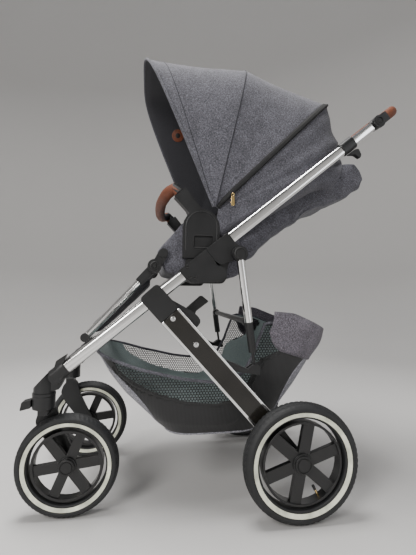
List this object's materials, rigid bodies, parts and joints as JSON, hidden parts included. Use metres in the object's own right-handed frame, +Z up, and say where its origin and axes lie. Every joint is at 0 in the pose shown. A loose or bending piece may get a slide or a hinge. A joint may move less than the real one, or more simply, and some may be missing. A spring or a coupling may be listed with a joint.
{
  "type": "baby stroller",
  "caption": "Folding pushchair with a hooded reclining seat, round bumper bar, leg rest, telescopic tilting handle, open basket, swivelling front wheels and larger rear wheels.",
  "frame": {"origin": "centre of the footprint at floor level", "axes": "+Z up, the longest side; +Y towards the handle at the back; X across, the shortest side"},
  "size_m": [0.6112, 1.0106, 1.211],
  "materials": {
    "lower_tube_left": "bright polished",
    "lower_tube_right": "bright polished",
    "fold_housing_left": "fine moulded texture",
    "fold_housing_right": "fine moulded texture",
    "front_axle": "fine moulded texture",
    "push_tube_left": "bright polished",
    "push_tube_right": "bright polished",
    "fold_knuckle_left": "fine moulded texture",
    "fold_knuckle_right": "fine moulded texture",
    "push_collar_left": "fine moulded texture",
    "push_collar_right": "fine moulded texture",
    "fold_trigger_left": "fine moulded texture",
    "fold_trigger_right": "fine moulded texture",
    "inner_tube_left": "bright polished",
    "inner_tube_right": "bright polished",
    "tilt_hub_left": "fine moulded texture",
    "tilt_hub_right": "fine moulded texture",
    "handle_yoke_left": "fine moulded texture",
    "handle_yoke_right": "fine moulded texture",
    "handle_grip": "grained cognac leather look",
    "rear_leg_left": "bright polished",
    "rear_leg_right": "bright polished",
    "leg_yoke": "fine moulded texture",
    "rear_axle": "fine moulded texture",
    "stay_bracket_left": "fine moulded texture",
    "stay_bracket_right": "fine moulded texture",
    "rear_stay_left": "bright polished tube with a black sleeve",
    "rear_stay_right": "bright polished tube with a black sleeve",
    "stay_bar": "fine moulded texture",
    "brake_pedal": "fine moulded texture",
    "fold_lever": "fine moulded texture",
    "rear_tyre_left": "matt with a cream ring",
    "rear_tyre_right": "matt with a cream ring",
    "rear_rim_left": "fine moulded texture",
    "rear_rim_right": "fine moulded texture",
    "front_tyre_left": "matt with a cream ring",
    "front_tyre_right": "matt with a cream ring",
    "front_rim_left": "fine moulded texture",
    "front_rim_right": "fine moulded texture",
    "caster_fork_left": "fine moulded texture",
    "caster_fork_right": "fine moulded texture",
    "caster_lock_left": "fine moulded texture",
    "caster_lock_right": "fine moulded texture",
    "seat_hub_left": "fine moulded texture",
    "seat_hub_right": "fine moulded texture",
    "seat_shell": "grey melange weave",
    "seat_cushion": "grey melange weave",
    "backrest": "grey melange weave",
    "harness": "dark weave",
    "bumper_bar": "grained cognac leather look",
    "legrest_joint_left": "fine moulded texture",
    "legrest_joint_right": "fine moulded texture",
    "legrest_frame": "bright polished",
    "legrest_pad": "dark weave",
    "canopy_bow": "dark weave",
    "canopy_front": "grey melange weave",
    "canopy_rear": "grey melange weave",
    "canopy_back": "grey melange weave",
    "basket_shell": "dark weave",
    "basket_flap": "grey melange weave"
  },
  "bodies": {
    "chassis": {"lower_tube_left": "lower_tube_left", "lower_tube_right": "lower_tube_right", "fold_housing_left": "fold_housing_left", "fold_housing_right": "fold_housing_right", "front_axle": "front_axle", "seat_hub_left": "seat_hub_left", "seat_hub_right": "seat_hub_right", "seat_shell": "seat_shell", "seat_cushion": "seat_cushion", "legrest_joint_left": "legrest_joint_left", "legrest_joint_right": "legrest_joint_right", "canopy_front": "canopy_front", "canopy_rear": "canopy_rear", "canopy_back": "canopy_back", "basket_shell": "basket_shell", "basket_flap": "basket_flap"},
    "push_frame": {"push_tube_left": "push_tube_left", "push_tube_right": "push_tube_right", "fold_knuckle_left": "fold_knuckle_left", "fold_knuckle_right": "fold_knuckle_right", "push_collar_left": "push_collar_left", "push_collar_right": "push_collar_right"},
    "fold_trigger_left": {"fold_trigger_left": "fold_trigger_left"},
    "fold_trigger_right": {"fold_trigger_right": "fold_trigger_right"},
    "telescope": {"inner_tube_left": "inner_tube_left", "inner_tube_right": "inner_tube_right", "tilt_hub_left": "tilt_hub_left", "tilt_hub_right": "tilt_hub_right"},
    "handle": {"handle_yoke_left": "handle_yoke_left", "handle_yoke_right": "handle_yoke_right", "handle_grip": "handle_grip"},
    "rear_frame": {"rear_leg_left": "rear_leg_left", "rear_leg_right": "rear_leg_right", "leg_yoke": "leg_yoke", "rear_axle": "rear_axle", "stay_bracket_left": "stay_bracket_left", "stay_bracket_right": "stay_bracket_right"},
    "rear_stays": {"rear_stay_left": "rear_stay_left", "rear_stay_right": "rear_stay_right", "stay_bar": "stay_bar"},
    "brake_pedal": {"brake_pedal": "brake_pedal"},
    "fold_lever": {"fold_lever": "fold_lever"},
    "rear_wheel_left": {"rear_tyre_left": "rear_tyre_left", "rear_rim_left": "rear_rim_left"},
    "rear_wheel_right": {"rear_tyre_right": "rear_tyre_right", "rear_rim_right": "rear_rim_right"},
    "caster_left": {"caster_fork_left": "caster_fork_left"},
    "caster_right": {"caster_fork_right": "caster_fork_right"},
    "caster_lock_left": {"caster_lock_left": "caster_lock_left"},
    "caster_lock_right": {"caster_lock_right": "caster_lock_right"},
    "front_wheel_left": {"front_tyre_left": "front_tyre_left", "front_rim_left": "front_rim_left"},
    "front_wheel_right": {"front_tyre_right": "front_tyre_right", "front_rim_right": "front_rim_right"},
    "seat_back": {"backrest": "backrest", "harness": "harness"},
    "canopy_bow": {"canopy_bow": "canopy_bow"},
    "bumper": {"bumper_bar": "bumper_bar"},
    "legrest": {"legrest_frame": "legrest_frame", "legrest_pad": "legrest_pad"}
  },
  "joints": [
    {"name": "chassis_fold", "type": "hinge", "parent": "chassis", "child": "push_frame", "pos_m": [0, -0.015, 0.6], "axis": [-1, 0, 0], "range_deg": [0, 100]},
    {"name": "rear_leg_fold", "type": "hinge", "parent": "chassis", "child": "rear_frame", "pos_m": [0, -0.175, 0.5375], "axis": [-1, 0, 0], "range_deg": [0, 30]},
    {"name": "stay_fold", "type": "hinge", "parent": "push_frame", "child": "rear_stays", "pos_m": [0, 0.036, 0.651], "axis": [-1, 0, 0], "range_deg": [-77.5, 0]},
    {"name": "push_bar_slide", "type": "slide", "parent": "push_frame", "child": "telescope", "axis": [0, 0.7771, 0.6293], "range_m": [-0.03, 0.06]},
    {"name": "handle_tilt", "type": "hinge", "parent": "telescope", "child": "handle", "pos_m": [0, 0.43217, 1.02974], "axis": [1, 0, 0], "range_deg": [-50, 60]},
    {"name": "trigger_left_slide", "type": "slide", "parent": "push_frame", "child": "fold_trigger_left", "axis": [0, 0.7771, 0.6293], "range_m": [0, 0.008], "stiffness_N_per_m": 400},
    {"name": "trigger_right_slide", "type": "slide", "parent": "push_frame", "child": "fold_trigger_right", "axis": [0, 0.7771, 0.6293], "range_m": [0, 0.008], "stiffness_N_per_m": 400},
    {"name": "backrest_recline", "type": "hinge", "parent": "chassis", "child": "seat_back", "pos_m": [0, 0.028, 0.668], "axis": [-1, 0, 0], "range_deg": [0, 24], "deforming": ["canopy_back"]},
    {"name": "canopy_fold", "type": "hinge", "parent": "chassis", "child": "canopy_bow", "pos_m": [0, -0.022, 0.768], "axis": [-1, 0, 0], "range_deg": [0, 28], "deforming": ["canopy_front"]},
    {"name": "bumper_pull", "type": "slide", "parent": "chassis", "child": "bumper", "axis": [0, -0.6558, 0.755], "range_m": [0, 0.045]},
    {"name": "legrest_tilt", "type": "hinge", "parent": "chassis", "child": "legrest", "pos_m": [0, -0.176, 0.619], "axis": [-1, 0, 0], "range_deg": [0, 40]},
    {"name": "brake_press", "type": "hinge", "parent": "rear_frame", "child": "brake_pedal", "pos_m": [0, 0.1808, 0.1445], "axis": [1, 0, 0], "range_deg": [-20, 0]},
    {"name": "fold_lever_lift", "type": "hinge", "parent": "rear_frame", "child": "fold_lever", "pos_m": [0, -0.07583, 0.4816], "axis": [1, 0, 0], "range_deg": [0, 20]},
    {"name": "caster_swivel_left", "type": "hinge", "parent": "chassis", "child": "caster_left", "pos_m": [0.1729, -0.441, 0.296], "axis": [0, 0, 1], "continuous": true},
    {"name": "caster_swivel_right", "type": "hinge", "parent": "chassis", "child": "caster_right", "pos_m": [-0.1729, -0.441, 0.296], "axis": [0, 0, 1], "continuous": true},
    {"name": "caster_lock_left_slide", "type": "slide", "parent": "caster_left", "child": "caster_lock_left", "axis": [0, -1, 0], "range_m": [0, 0.008]},
    {"name": "caster_lock_right_slide", "type": "slide", "parent": "caster_right", "child": "caster_lock_right", "axis": [0, -1, 0], "range_m": [0, 0.008]},
    {"name": "front_wheel_left_spin", "type": "hinge", "parent": "caster_left", "child": "front_wheel_left", "pos_m": [0.1729, -0.3808, 0.1245], "axis": [1, 0, 0], "continuous": true},
    {"name": "front_wheel_right_spin", "type": "hinge", "parent": "caster_right", "child": "front_wheel_right", "pos_m": [-0.1729, -0.3808, 0.1245], "axis": [1, 0, 0], "continuous": true},
    {"name": "rear_wheel_left_spin", "type": "hinge", "parent": "rear_frame", "child": "rear_wheel_left", "pos_m": [0.2828, 0.1808, 0.1445], "axis": [1, 0, 0], "continuous": true},
    {"name": "rear_wheel_right_spin", "type": "hinge", "parent": "rear_frame", "child": "rear_wheel_right", "pos_m": [-0.2828, 0.1808, 0.1445], "axis": [1, 0, 0], "continuous": true}
  ],
  "couplings": [
    {"joint": "rear_leg_fold", "follows": "chassis_fold", "ratio": 0.3},
    {"joint": "stay_fold", "follows": "chassis_fold", "ratio": -0.775}
  ]
}
